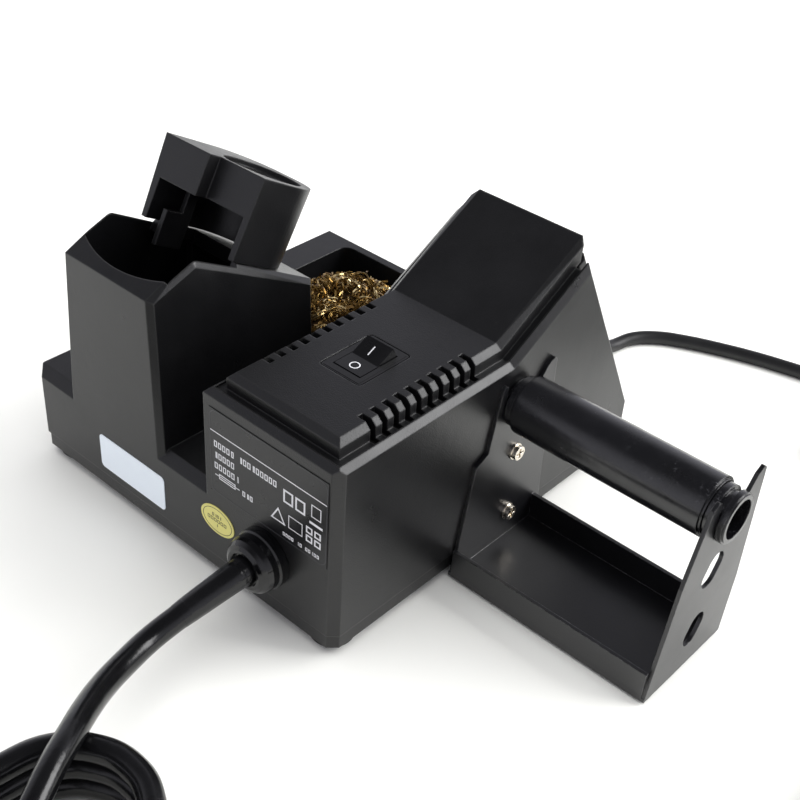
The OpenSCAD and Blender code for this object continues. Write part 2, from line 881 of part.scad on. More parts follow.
module bracket_screws() {
    color([0.80, 0.76, 0.66])
        at_housing()
            for (p = bracket_screw_places)
                translate([0, p[0], p[1]]) {
                    difference() {
                        union() {
                            x_rod(2.7, -sheet_t - 0.5, -sheet_t);
                            x_rod(2.3, -sheet_t - 1.9, -sheet_t - 0.5);
                            x_rod(1.25, -sheet_t - 1, 5.4);
                        }
                        translate([-sheet_t - 3, -0.35, -1.7]) cube([1.9, 0.7, 3.4]);
                        translate([-sheet_t - 3, -1.7, -0.35]) cube([1.9, 3.4, 0.7]);
                    }
                }
}

// Hollow axle: necks in the two cradles, a collar outside the outer plate
module reel_axle() {
    bore = 5.9;
    x_end = plate_out - 2.6;
    color([0.05, 0.05, 0.06])
        at_housing()
            translate([0, axle_y, axle_z])
                difference() {
                    union() {
                        x_rod(neck_r, x_end, -0.1);
                        x_rod(axle_r, plate_out + sheet_t + 0.4, -sheet_t - 0.4);
                        x_rod(axle_r + 0.7, x_end + 0.5, plate_out - 0.4);
                        x_rod(axle_r + 0.2, x_end, x_end + 0.5);
                        x_rod(axle_r + 0.9, plate_out + sheet_t + 0.4, plate_out + sheet_t + 2.4);
                        x_rod(axle_r + 0.9, -sheet_t - 2.4, -sheet_t - 0.4);
                    }
                    x_rod(bore, x_end - 1, 1);
                }
}

module reel_roller() {
    color([0.06, 0.06, 0.07])
        at_housing()
            translate([0, axle_y, axle_z])
                difference() {
                    union() {
                        x_rod(roller_r, plate_out + sheet_t + 3.3, -sheet_t - 3.3);
                        x_rod(roller_r - 0.7, plate_out + sheet_t + 2.6, -sheet_t - 2.6);
                    }
                    x_rod(axle_r + run_fit, plate_out, 0);
                }
}

// ---- mains lead ----

module mains_bush() {
    color([0.04, 0.04, 0.05])
        at_housing()
            translate(bush_at)
                rotate([-90, 0, 0])
                    rotate_extrude()
                        polygon([
                            [0, -5], [6, -5], [6, 0], [9.2, 0], [9.2, 2.8], [8.7, 3.2], [8.7, 5.2],
                            [8.3, 6.8], [7.4, 8], [6.2, 8.7], [5.3, 8.7], [4.9, 8.2], [4.9, 7.4], [0, 7.4]
                        ]);
}

module mains_bush_nut() {
    color([0.05, 0.05, 0.05])
        at_housing()
            translate([bush_at[0], -wall, bush_at[2]])
                rotate([90, 0, 0])
                    difference() {
                        cylinder(r = 9, h = 3, $fn = 6);
                        translate([0, 0, -1]) cylinder(r = 6.05, h = 5);
                    }
}

module mains_relief() {
    color([0.04, 0.04, 0.05])
        at_housing() swept_tube(mains_relief_route, mains_dia / 2 + 0.9, mains_dia / 2 + 0.15, 12);
}

module mains_lead() {
    color([0.05, 0.05, 0.06])
        at_housing() swept_tube(mains_route, mains_dia / 2, mains_dia / 2, 10);
}

// Outer shape of the wound lead: a ring with straight runs
module hank_plan(r) {
    translate([-r, 0]) square([2 * r, hank_run]);
    for (y = [0, hank_run])
        translate([0, y]) circle(r = r, $fn = 64);
}

module mains_hank() {
    r = hank_fold_r;
    color([0.05, 0.05, 0.06])
        at_housing()
            translate([hank_mid[0], hank_mid[1], -foot_h])
                linear_extrude(hank_h)
                    difference() {
                        hank_plan(r + mains_dia / 2);
                        hank_plan(r - mains_dia / 2);
                    }
}

module mains_tail() {
    color([0.05, 0.05, 0.06])
        at_housing() swept_tube(mains_tail, mains_dia / 2, mains_dia / 2, 10);
}

// Earthed plug with round pins, lying on its side beside the wound lead
module mains_plug() {
    color([0.05, 0.05, 0.06])
        at_housing()
            translate(plug_at)
                rotate([0, -90, 0])
                    difference() {
                        rotate_extrude()
                            polygon([
                                [0, 0], [4.6, 0], [5.6, 14], [8, 18], [13, 24], [17.6, 28], [17.6, 46],
                                [16.8, 47], [0, 47]
                            ]);
                        for (s = [-1, 1])
                            translate([s * 15.5, 0, 40]) cube([4, 5, 20], center = true);
                    }
}

module plug_pins() {
    color("silver")
        at_housing()
            translate(plug_at)
                for (s = [-1, 1])
                    translate([-47, s * 9.5, 0]) {
                        x_rod(2.4, -17.5, 0);
                        x_rod(1.7, -19, -17.5);
                    }
}

// ---- iron and its lead ----

module iron_bush() {
    color([0.04, 0.04, 0.05])
        at_housing()
            translate(lead_exit)
                rotate([90, 0, 0])
                    rotate_extrude()
                        polygon([
                            [0, -5], [3, -5], [3, 0], [3.5, 0], [3.5, 2], [3.2, 3],
                            [2.9, bush_len], [0, bush_len]
                        ]);
}

module iron_lead() {
    color([0.05, 0.05, 0.06])
        at_housing() swept_tube(iron_route, iron_dia / 2, iron_dia / 2, 8);
}

// Three turns side by side, and two more lying on the inner ones
module iron_coil() {
    outer = coil_r + iron_dia / 2;
    color([0.05, 0.05, 0.06])
        at_housing()
            translate([coil_mid[0], coil_mid[1], -foot_h])
                rotate_extrude($fn = 96) {
                    translate([outer - 3 * iron_dia, 0]) square([3 * iron_dia, iron_dia]);
                    translate([outer - 3 * iron_dia, 0]) square([2 * iron_dia, 2 * iron_dia]);
                }
}

module iron_lead_tail() {
    color([0.05, 0.05, 0.06])
        at_housing() swept_tube(iron_tail, iron_dia / 2, iron_dia / 2, 8);
}

// The iron lies along Y with its tip towards the back
module iron_part(outline, bore = 0) {
    at_housing()
        translate(iron_at)
            rotate([-90, 0, 0])
                difference() {
                    rotate_extrude() polygon(outline);
                    if (bore > 0)
                        translate([0, 0, -1]) cylinder(r = bore, h = 300);
                }
}

module iron_relief() {
    color([0.05, 0.05, 0.05])
        iron_part([[0, 0], [3.2, 0], [4.4, 22], [4.4, 24], [0, 24]]);
}

module iron_handle() {
    color([0.10, 0.10, 0.11])
        iron_part([
            [0, 24], [6, 24], [7.4, 27], [8.6, 45], [8.9, 70], [8.4, 92], [8.4, 94], [0, 94]
        ]);
}

module iron_grip() {
    color([0.12, 0.12, 0.13])
        iron_part([
            [0, 94], [8.2, 94], [grip_r, 97], [9.2, 108], [8.6, 118], [9.4, 128], [grip_r, 131],
            [0, 131]
        ]);
}

module iron_nut() {
    color([0.75, 0.75, 0.77])
        iron_part([
            [0, 131], [6.6, 131], [6.6, 136], [6, 137], [6, 141], [5.4, 142], [0, 142]
        ]);
}

module iron_barrel() {
    color([0.72, 0.72, 0.74])
        iron_part([[0, 142], [4.4, 142], [4.4, 168], [3.6, 170], [0, 170]]);
}

module iron_tip() {
    color([0.70, 0.70, 0.72])
        iron_part([[0, 170], [2.9, 170], [2.9, 176], [2.4, 178], [0.4, iron_len - 0.2], [0, iron_len]]);
}

casing();
base_plate();
feet();
base_screws();
lid();
front_panel();
display_window();
display_module();
display_board();
key_up();
key_down();
key_set();
key_switches();
main_board();
power_transformer();
filter_capacitor();
heat_sink();
fuse_link();
switch_body();
rocker();
rating_label();
blank_sticker();
round_sticker();
iron_holder();
holder_liner();
brass_wool();
reel_bracket();
bracket_screws();
reel_axle();
reel_roller();
mains_bush();
mains_bush_nut();
mains_relief();
mains_lead();
mains_hank();
mains_tail();
mains_plug();
plug_pins();
iron_bush();
iron_lead();
iron_coil();
iron_lead_tail();
iron_relief();
iron_handle();
iron_grip();
iron_nut();
iron_barrel();
iron_tip();
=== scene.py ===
import math
import random

import bmesh
import bpy
from mathutils import Matrix, Vector


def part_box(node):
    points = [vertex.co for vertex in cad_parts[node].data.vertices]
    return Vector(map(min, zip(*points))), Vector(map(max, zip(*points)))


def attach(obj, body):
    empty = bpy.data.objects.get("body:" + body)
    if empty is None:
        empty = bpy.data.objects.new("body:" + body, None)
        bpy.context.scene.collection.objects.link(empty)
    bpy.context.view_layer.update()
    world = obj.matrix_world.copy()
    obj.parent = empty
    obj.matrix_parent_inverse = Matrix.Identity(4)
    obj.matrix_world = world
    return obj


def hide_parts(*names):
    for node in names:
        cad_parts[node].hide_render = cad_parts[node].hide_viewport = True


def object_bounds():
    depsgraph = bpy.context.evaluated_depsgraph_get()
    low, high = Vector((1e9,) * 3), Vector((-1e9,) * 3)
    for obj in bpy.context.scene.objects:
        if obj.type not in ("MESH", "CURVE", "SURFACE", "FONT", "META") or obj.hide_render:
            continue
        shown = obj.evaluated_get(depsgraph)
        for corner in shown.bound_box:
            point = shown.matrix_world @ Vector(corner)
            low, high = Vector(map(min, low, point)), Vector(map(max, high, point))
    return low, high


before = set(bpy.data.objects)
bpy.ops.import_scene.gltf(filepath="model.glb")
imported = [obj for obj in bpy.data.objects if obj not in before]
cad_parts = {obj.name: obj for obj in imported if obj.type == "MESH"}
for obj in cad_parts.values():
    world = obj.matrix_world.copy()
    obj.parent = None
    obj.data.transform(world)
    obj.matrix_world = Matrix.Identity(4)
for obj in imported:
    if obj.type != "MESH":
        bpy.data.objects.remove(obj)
cad_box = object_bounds()

# ---- frame ----

MM = 0.001
CORNER = Vector((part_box("casing")[0][0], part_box("casing")[1][1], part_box("base_plate")[0][2]))
SLOPE = math.radians(29)
RIDGE = (0.0, -102.5, 62.2 + 32.5 * math.tan(SLOPE))


def at(x, y, z):
    """A point of the housing's own millimetres, in the row frame."""
    return CORNER + MM * Vector((x, y, z))


def placed(origin, turn):
    """Matrix of a small frame at a housing point, turned about X by an angle in radians."""
    return Matrix.Translation(at(*origin)) @ Matrix.Rotation(turn, 4, "X") @ Matrix.Scale(MM, 4)


FRONT = placed(RIDGE, math.pi / 2 - SLOPE)
BACK = placed((0, 0, 0), math.pi / 2) @ Matrix.Scale(-1, 4, (0, 0, 1))
ROCKER_TOP = (25.5, -35.508, 68.767)
ROCKER_BACK = placed(ROCKER_TOP, 0)
ROCKER_FRONT = placed(ROCKER_TOP, math.radians(-26))

# ---- camera ----

CAMERA_PLACE = (-168.0, 180.1, 267.0)
CAMERA_AIM = (49.64, -80.46, 19.73)
CAMERA_ROLL = 4.10
CAMERA_LENS = 58.37


def add_camera():
    """Stands behind the station on the reel side and looks down at it."""
    place = at(*CAMERA_PLACE)
    ahead = (at(*CAMERA_AIM) - place).normalized()
    roll = math.radians(CAMERA_ROLL)
    level = ahead.cross(Vector((0, 0, 1))).normalized()
    upright = level.cross(ahead)
    right = math.cos(roll) * level + math.sin(roll) * upright
    up = right.cross(ahead)
    turn = Matrix((right, up, -ahead)).transposed().to_4x4()
    data = bpy.data.cameras.new("camera")
    data.sensor_width = 36.0
    data.lens = CAMERA_LENS
    data.clip_start = 0.01
    data.clip_end = 50.0
    camera = bpy.data.objects.new("camera", data)
    camera.matrix_world = Matrix.Translation(place) @ turn
    bpy.context.collection.objects.link(camera)
    bpy.context.scene.camera = camera


add_camera()

# ---- making pieces ----


def show(name, data, material, body):
    """Adds a piece with its material, and lets it ride on a body."""
    piece = bpy.data.objects.new(name, data)
    bpy.context.collection.objects.link(piece)
    data.materials.append(material)
    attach(piece, body)
    return piece


def mesh_piece(name, shape, material, body, smooth=False):
    """A piece from a finished bmesh."""
    data = bpy.data.meshes.new(name)
    bmesh.ops.recalc_face_normals(shape, faces=shape.faces)
    for face in shape.faces:
        face.smooth = smooth
    shape.to_mesh(data)
    shape.free()
    return show(name, data, material, body)


def tube_piece(name, points, radius, material, body, closed=False, radii=None):
    """A round tube along one smooth spline through the points."""
    data = bpy.data.curves.new(name, "CURVE")
    data.dimensions = "3D"
    data.bevel_depth = radius
    data.bevel_resolution = 4
    data.use_fill_caps = not closed
    data.resolution_u = 8
    data.twist_mode = "MINIMUM"
    spline = data.splines.new("BEZIER")
    spline.bezier_points.add(len(points) - 1)
    spline.use_cyclic_u = closed
    for i, point in enumerate(points):
        knot = spline.bezier_points[i]
        knot.co = point
        knot.handle_left_type = "AUTO"
        knot.handle_right_type = "AUTO"
        knot.radius = radii[i] if radii else 1.0
    return show(name, data, material, body)


def skin(shape, rings):
    """A closed skin over a row of rings of vertices, with a cap at each end."""
    shape.faces.new(rings[0])
    shape.faces.new(rings[-1])
    for low, high in zip(rings, rings[1:]):
        for i in range(len(low)):
            j = (i + 1) % len(low)
            shape.faces.new((low[i], low[j], high[j], high[i]))


def slab(shape, matrix, outline, low, high):
    """A closed flat plate: an outline between two heights of a small frame."""
    skin(shape, [[shape.verts.new(matrix @ Vector((x, y, z))) for x, y in outline] for z in (low, high)])


def band(shape, matrix, outer, inner, low, high):
    """A closed flat ring between two outlines of as many points each."""
    loops = []
    for outline, z in ((outer, low), (outer, high), (inner, high), (inner, low)):
        loops.append([shape.verts.new(matrix @ Vector((x, y, z))) for x, y in outline])
    for i in range(len(outer)):
        j = (i + 1) % len(outer)
        for a, b in zip(loops, loops[1:] + loops[:1]):
            shape.faces.new((a[i], a[j], b[j], b[i]))


def rect(x0, y0, x1, y1):
    """The corners of a rectangle."""
    return [(x0, y0), (x1, y0), (x1, y1), (x0, y1)]


def oval(mid, rx, ry, count=32):
    """Points round an ellipse."""
    angles = [2 * math.pi * i / count for i in range(count)]
    return [(mid[0] + rx * math.cos(a), mid[1] + ry * math.sin(a)) for a in angles]


def rounded(x0, y0, x1, y1, r):
    """A rectangle with round corners, four steps to each."""
    points = []
    low_x, low_y, high_x, high_y = x0 + r, y0 + r, x1 - r, y1 - r
    corners = ((high_x, high_y, 0), (low_x, high_y, 90), (low_x, low_y, 180), (high_x, low_y, 270))
    for cx, cy, start in corners:
        for step in range(5):
            angle = math.radians(start + 22.5 * step)
            points.append((cx + r * math.cos(angle), cy + r * math.sin(angle)))
    return points


# ---- nodes of the materials ----


def grey(value):
    return (value, value, value, 1.0)


def tinted(colour, factor):
    return tuple(min(1.0, c * factor) for c in colour) + (1.0,)


def set_stops(node, stops):
    """Gives a colour ramp its (position, colour) stops."""
    ends = node.color_ramp.elements
    while len(ends) < len(stops):
        ends.new(0.5)
    for end, (position, colour) in zip(ends, stops):
        end.position = position
        end.color = colour


class Surface:
    """A procedural material around one Principled shader, in object coordinates."""

    def __init__(self, name, roughness=0.5, metallic=0.0, ior=1.45, bevel=0.0, **sockets):
        self.material = bpy.data.materials.new(name)
        self.material.use_nodes = True
        self.tree = self.material.node_tree
        self.shader = self.tree.nodes["Principled BSDF"]
        self.set("Roughness", roughness)
        self.set("Metallic", metallic)
        self.set("IOR", ior)
        for socket, value in sockets.items():
            self.set(socket.replace("_", " "), value)
        self.coords = self.node("ShaderNodeTexCoord").outputs["Object"]
        self.normal = None
        self.round = None
        if bevel:
            node = self.node("ShaderNodeBevel", samples=4)
            node.inputs["Radius"].default_value = bevel
            self.normal = node.outputs["Normal"]
            self.round = self.normal
            self.join(self.normal, self.shader.inputs["Normal"])

    def set(self, socket, value):
        self.shader.inputs[socket].default_value = value

    def node(self, kind, **settings):
        node = self.tree.nodes.new(kind)
        for key, value in settings.items():
            setattr(node, key, value)
        return node

    def join(self, a, b):
        self.tree.links.new(a, b)

    def noise(self, scale, detail=3.0, rough=0.5, stretch=None):
        """A noise value of that many cycles in a metre, stretched along the axes if asked."""
        node = self.node("ShaderNodeTexNoise")
        node.inputs["Scale"].default_value = scale
        node.inputs["Detail"].default_value = detail
        node.inputs["Roughness"].default_value = rough
        self.join(self.stretched(stretch), node.inputs["Vector"])
        return node.outputs["Fac"]

    def stretched(self, factors):
        if factors is None:
            return self.coords
        node = self.node("ShaderNodeMapping")
        node.inputs["Scale"].default_value = factors
        self.join(self.coords, node.inputs["Vector"])
        return node.outputs["Vector"]

    def cells(self, scale, feature="F1"):
        node = self.node("ShaderNodeTexVoronoi", feature=feature)
        node.inputs["Scale"].default_value = scale
        self.join(self.coords, node.inputs["Vector"])
        return node.outputs["Distance"]

    def waves(self, scale, axis, distortion=0.0):
        node = self.node("ShaderNodeTexWave", bands_direction=axis)
        node.inputs["Scale"].default_value = scale
        node.inputs["Distortion"].default_value = distortion
        self.join(self.coords, node.inputs["Vector"])
        return node.outputs["Fac"]

    def ramp(self, value, *stops):
        """A colour ramp of (position, colour) stops."""
        node = self.node("ShaderNodeValToRGB")
        set_stops(node, stops)
        self.join(value, node.inputs["Fac"])
        return node.outputs["Color"]

    def spread(self, value, low, high, start=0.3, end=0.7):
        """The value between start and end, mapped to run from low to high."""
        node = self.node("ShaderNodeMapRange")
        for socket, number in (
            ("From Min", start), ("From Max", end), ("To Min", low), ("To Max", high)
        ):
            node.inputs[socket].default_value = number
        self.join(value, node.inputs["Value"])
        return node.outputs["Result"]

    def sum(self, a, b, kind="ADD"):
        node = self.node("ShaderNodeMath", operation=kind)
        self.join(a, node.inputs[0])
        self.join(b, node.inputs[1])
        return node.outputs[0]

    def blend(self, factor, a, b):
        """Colour a where the factor is 0 and colour b where it is 1."""
        node = self.node("ShaderNodeMix", data_type="RGBA")
        self.join(factor, node.inputs["Factor"])
        for socket, colour in ((6, a), (7, b)):
            if isinstance(colour, tuple):
                node.inputs[socket].default_value = colour
            else:
                self.join(colour, node.inputs[socket])
        return node.outputs[2]

    def tone(self, colour, spread=0.2, scale=40.0):
        """Base colour that drifts a little lighter and darker."""
        value = self.noise(scale, 4.0, 0.6)
        colour = self.ramp(value, (0.3, tinted(colour, 1 - spread)), (0.7, tinted(colour, 1 + spread)))
        self.colour(colour)
        return colour

    def colour(self, output):
        self.join(output, self.shader.inputs["Base Color"])

    def polish(self, low, high, scale=120.0, stretch=None):
        """Roughness that changes over the surface."""
        value = self.noise(scale, 5.0, 0.6, stretch)
        self.join(self.spread(value, low, high), self.shader.inputs["Roughness"])

    def bump(self, height, depth):
        """Relief of that depth in metres, over what is there already."""
        node = self.node("ShaderNodeBump")
        node.inputs["Strength"].default_value = 1.0
        node.inputs["Distance"].default_value = depth
        self.join(height, node.inputs["Height"])
        if self.normal:
            self.join(self.normal, node.inputs["Normal"])
        self.normal = node.outputs["Normal"]
        self.join(self.normal, self.shader.inputs["Normal"])

    def edges(self, start=0.998, end=0.93):
        """1 along rounded edges and 0 elsewhere."""
        node = self.node("ShaderNodeVectorMath", operation="DOT_PRODUCT")
        true_normal = self.node("ShaderNodeNewGeometry").outputs["Normal"]
        self.join(self.round, node.inputs[0])
        self.join(true_normal, node.inputs[1])
        return self.spread(node.outputs["Value"], 1.0, 0.0, end, start)


# ---- the materials ----


def moulded(name, colour, low, high, grain=0.00003, edge_wear_and_highlight=0.02):
    """Moulded plastic: fine spark grain, faint dust specks, and paler edges that are partly rubbed wear and
    partly painted edge highlight.
    """
    s = Surface(name, bevel=0.0006)
    base = s.tone(colour, 0.25, 30.0)
    specks = s.spread(s.noise(900.0, 2.0), 0.0, 0.5, 0.72, 0.80)
    dusty = s.blend(specks, base, grey(0.03))
    # Paler edges: partly rubbed wear, partly a painted highlight where the rounded edges catch the light.
    s.colour(s.blend(s.edges(), dusty, grey(edge_wear_and_highlight)))
    s.polish(low, high, 60.0)
    s.bump(s.cells(2600.0), grain)
    s.bump(s.noise(320.0, 4.0, 0.6), grain)
    return s.material


def rubber(name, colour):
    """Dull rubber with a fine grain."""
    s = Surface(name, bevel=0.0003)
    s.tone(colour, 0.3, 80.0)
    s.polish(0.55, 0.8, 200.0)
    s.bump(s.noise(2500.0, 3.0, 0.6), 0.00005)
    return s.material


def glossy(name, colour, low, high, bevel=0.0004):
    """Smooth shiny plastic."""
    s = Surface(name, bevel=bevel)
    s.tone(colour, 0.25, 60.0)
    s.polish(low, high, 90.0)
    s.bump(s.noise(700.0, 3.0, 0.5), 0.00002)
    return s.material


def sheath(name, colour, low, high):
    """Smooth round cord jacket with faint length-wise waviness."""
    s = Surface(name)
    s.tone(colour, 0.3, 50.0)
    s.polish(low, high, 160.0)
    s.bump(s.noise(260.0, 3.0, 0.5), 0.00010)
    s.bump(s.noise(1500.0, 2.0, 0.5), 0.00002)
    return s.material


def metal(name, colour, low, high, stretch=None):
    """Bare metal, with its grain drawn out along an axis if asked."""
    s = Surface(name, metallic=1.0, bevel=0.0002)
    s.tone(colour, 0.12, 150.0)
    s.polish(low, high, 400.0, stretch)
    s.bump(s.noise(1500.0, 3.0, 0.6, stretch), 0.00001)
    return s.material


def knurled(name, colour):
    """Bare metal with a pattern of small raised cells."""
    s = Surface(name, metallic=1.0, bevel=0.0002)
    s.tone(colour, 0.12, 150.0)
    s.polish(0.22, 0.38, 400.0)
    s.bump(s.cells(1100.0, "DISTANCE_TO_EDGE"), 0.00025)
    return s.material


def painted_sheet(name):
    """Satin bluish black paint on bent sheet metal, rubbed through a little along its edges."""
    s = Surface(name, ior=1.62, bevel=0.0004)
    base = s.tone((0.0045, 0.0045, 0.0055), 0.3, 50.0)
    rubbed = s.sum(s.edges(), s.spread(s.noise(700.0, 4.0, 0.7), 0.0, 1.0, 0.46, 0.66), "MULTIPLY")
    s.colour(s.blend(rubbed, base, grey(0.12)))
    s.polish(0.30, 0.38, 40.0)
    s.bump(s.noise(1700.0, 4.0, 0.6), 0.00002)
    return s.material


def scuffed(name):
    """The roller: glossy black, rubbed grey in patches towards its outer end."""
    s = Surface(name, ior=1.62, bevel=0.0004)
    base = s.tone((0.0045, 0.0045, 0.0055), 0.3, 60.0)
    split = s.node("ShaderNodeSeparateXYZ")
    s.join(s.coords, split.inputs[0])
    outer = s.spread(split.outputs["X"], 1.0, 0.15, at(-56, 0, 0).x, at(-30, 0, 0).x)
    fine = s.spread(s.noise(1100.0, 6.0, 0.75), 0.0, 1.0, 0.54, 0.66)
    patches = s.spread(s.noise(150.0, 4.0, 0.65), 0.0, 1.0, 0.50, 0.60)
    marks = s.sum(s.sum(fine, patches, "MULTIPLY"), outer, "MULTIPLY")
    s.colour(s.blend(marks, base, (0.045, 0.045, 0.05, 1)))
    s.polish(0.16, 0.30, 160.0)
    s.bump(s.noise(600.0, 3.0, 0.6), 0.00003)
    return s.material


def shavings(name):
    """Curled brass: deep gold, brown where it is tarnished, with a few pale bright curls."""
    s = Surface(name, metallic=0.85, roughness=0.3)
    island = s.node("ShaderNodeNewGeometry").outputs["Random Per Island"]
    per_curl = s.ramp(
        island, (0.0, (0.09, 0.045, 0.008, 1)), (0.45, (0.25, 0.142, 0.034, 1)),
        (0.80, (0.45, 0.29, 0.095, 1)), (1.0, (0.95, 0.76, 0.40, 1))
    )
    tarnish = s.spread(s.noise(260.0, 4.0, 0.6), 0.0, 0.6, 0.5, 0.72)
    s.colour(s.blend(tarnish, per_curl, (0.10, 0.052, 0.014, 1)))
    s.polish(0.14, 0.32, 900.0)
    s.bump(s.noise(2200.0, 3.0, 0.6), 0.00005)
    return s.material


def glass(name):
    """Dark tinted window over the display."""
    s = Surface(name, roughness=0.04, ior=1.49, bevel=0.0003, Transmission_Weight=0.85)
    s.tone((0.20, 0.05, 0.05), 0.05, 30.0)
    s.polish(0.03, 0.08, 80.0)
    return s.material


def lit(name, colour):
    """Bars that glow."""
    s = Surface(name, roughness=0.4, Emission_Strength=3.0, Emission_Color=tinted(colour, 1.0))
    s.tone(colour, 0.1, 200.0)
    return s.material


def printed(name, colour, spread=0.06, low=0.3, high=0.5):
    """Ink, or a label's smooth face."""
    s = Surface(name)
    s.tone(colour, spread, 300.0)
    s.polish(low, high, 300.0)
    s.bump(s.noise(1600.0, 2.0), 0.00001)
    return s.material


def circuit(name):
    """Green board with paler tracks."""
    s = Surface(name, bevel=0.0001)
    tracks = s.spread(s.cells(260.0, "DISTANCE_TO_EDGE"), 0.0, 1.0, 0.04, 0.06)
    s.colour(s.blend(tracks, (0.03, 0.16, 0.05, 1), (0.012, 0.085, 0.03, 1)))
    s.polish(0.3, 0.45, 200.0)
    s.bump(tracks, 0.00003)
    return s.material


def wrapped(name, colour):
    """Tape round the transformer's winding."""
    s = Surface(name, bevel=0.0003)
    s.tone(colour, 0.2, 90.0)
    s.polish(0.3, 0.5, 200.0)
    s.bump(s.waves(300.0, "Z", 0.4), 0.00008)
    return s.material


def ribbed(name, colour):
    """Rubber with rings moulded round it."""
    s = Surface(name, bevel=0.0003)
    s.tone(colour, 0.3, 80.0)
    s.polish(0.5, 0.75, 200.0)
    s.bump(s.waves(180.0, "Y"), 0.0006)
    s.bump(s.noise(2500.0, 3.0), 0.00004)
    return s.material


BLACK = (0.0050, 0.0050, 0.0055)
SURFACES = {
    "housing_plastic": moulded("housing_plastic", BLACK, 0.27, 0.36),
    "lid_plastic": moulded("lid_plastic", BLACK, 0.34, 0.44),
    "holder_plastic": moulded("holder_plastic", BLACK, 0.30, 0.42),
    "foot_rubber": rubber("foot_rubber", (0.006, 0.006, 0.007)),
    "nickel_screw": metal("nickel_screw", (0.80, 0.74, 0.64), 0.2, 0.36),
    "window": glass("window"),
    "switch_black": glossy("switch_black", (0.004, 0.004, 0.0045), 0.30, 0.40, bevel=0.0),
    "switch_gloss": glossy("switch_gloss", (0.003, 0.003, 0.0035), 0.26, 0.36, bevel=0.0),
    "circuit_board": circuit("circuit_board"),
    "key_grey": moulded("key_grey", (0.075, 0.078, 0.085), 0.4, 0.5, 0.00002, edge_wear_and_highlight=0.12),
    "coil_tape": wrapped("coil_tape", (0.72, 0.55, 0.10)),
    "capacitor_sleeve": glossy("capacitor_sleeve", (0.02, 0.04, 0.15), 0.25, 0.35),
    "bare_aluminium": metal("bare_aluminium", (0.75, 0.76, 0.78), 0.3, 0.45, (1, 1, 0.1)),
    "fuse_glass": metal("fuse_glass", (0.8, 0.8, 0.82), 0.15, 0.3),
    "label_black": printed("label_black", (0.005, 0.005, 0.006), 0.1, 0.26, 0.34),
    "label_white": printed("label_white", (0.86, 0.93, 1.0), 0.01),
    "label_yellow": printed("label_yellow", (0.76, 0.70, 0.22)),
    "liner_steel": metal("liner_steel", (0.16, 0.15, 0.14), 0.35, 0.5, (1, 1, 0.2)),
    "brass_shavings": shavings("brass_shavings"),
    "bracket_paint": painted_sheet("bracket_paint"),
    "roller_black": scuffed("roller_black"),
    "bush_gloss": glossy("bush_gloss", (0.003, 0.003, 0.0035), 0.10, 0.16),
    "cord_sheath": sheath("cord_sheath", (0.004, 0.004, 0.0045), 0.17, 0.26),
    "iron_cord_sheath": sheath("iron_cord_sheath", (0.006, 0.006, 0.0065), 0.42, 0.55),
    "plug_body": moulded("plug_body", (0.005, 0.005, 0.0055), 0.3, 0.42),
    "plug_pin": metal("plug_pin", (0.80, 0.78, 0.72), 0.15, 0.3, (0.2, 1, 1)),
    "handle_plastic": moulded("handle_plastic", (0.005, 0.005, 0.006), 0.3, 0.42),
    "grip_rubber": ribbed("grip_rubber", (0.016, 0.018, 0.030)),
    "nickel_nut": knurled("nickel_nut", (0.78, 0.76, 0.72)),
    "barrel_steel": metal("barrel_steel", (0.66, 0.63, 0.58), 0.22, 0.4, (1, 0.2, 1)),
    "tip_plate": metal("tip_plate", (0.62, 0.60, 0.58), 0.25, 0.45),
}
WHITE_PRINT = printed("white_print", (0.72, 0.72, 0.74))
FAINT_PRINT = printed("faint_print", (0.05, 0.05, 0.055))
DARK_PRINT = printed("dark_print", (0.10, 0.09, 0.03))
LIT_RED = lit("lit_red", (1.0, 0.08, 0.04))
TIE = glossy("tie_wire", (0.006, 0.006, 0.0065), 0.3, 0.45, bevel=0.0)
# Dark brown filler under the brass curls: painted shade for the shaded inside of the heap.
WOOL_SHADE_CORE = printed("wool_core", (0.045, 0.025, 0.010), 0.5, 0.7, 0.9)


def dress_frame():
    """Gives every CAD node the finish of its slot."""
    for name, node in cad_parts.items():
        for place in node.material_slots:
            slot = place.material.name.split(".")[0]
            place.material = SURFACES[slot]


dress_frame()

# ---- cords ----

MAINS_DIA = 7.0
IRON_DIA = 5.0
RELIEF_ROUTE = [
    (26.3, 7.6, 19.5), (26.3, 11.5, 19.4), (27, 16, 18.2), (28.3, 22, 16.1), (29.2, 26, 14.6),
    (29.48, 28.8, 13.94)
]
MAINS_ROUTE = [
    (29.5, 29, 13.9), (30, 38, 12), (28.2, 47, 12), (24.2, 57, 14.2), (18.4, 66.5, 17.8),
    (12.2, 75.5, 20.9), (6.8, 84.5, 22), (1.4, 94, 20.8), (-3, 104, 17.6), (-6.5, 115, 13),
    (-9.8, 127, 7.6), (-12.5, 140, 3), (-14.5, 153, 0.4), (-16.5, 166, 0), (-19, 178, 0)
]
MAINS_TAIL = [(-25.3, 106, 14), (-35.5, 116.2, 14), (-44.6, 119.6, 14.1), (-49.1, 120, 14.1)]
HANK_X = -0.5
HANK_FAR_Y = 89.0
HANK_NEAR_Y = 201.0
HANK_R = 21.0
HANK_LAYERS = 3
HANK_CLIMB = ((96, 0.02), (107, 0.25), (119, 0.5), (131, 0.75), (142, 0.98), (170, 1))
IRON_ROUTE = [
    (36, -158.7, 9), (36, -161.5, 8.85), (36, -166, 7.4), (36, -176, 2.6), (36, -187, -1),
    (33.5, -197, -1), (27.5, -204.5, -1), (18, -210.5, -1), (7, -215.5, -1), (-5, -220, -1),
    (-17, -223.5, -1), (-30, -226.5, -1), (-43, -228.8, -1), (-56, -230.4, -1), (-68, -231.2, -1)
]
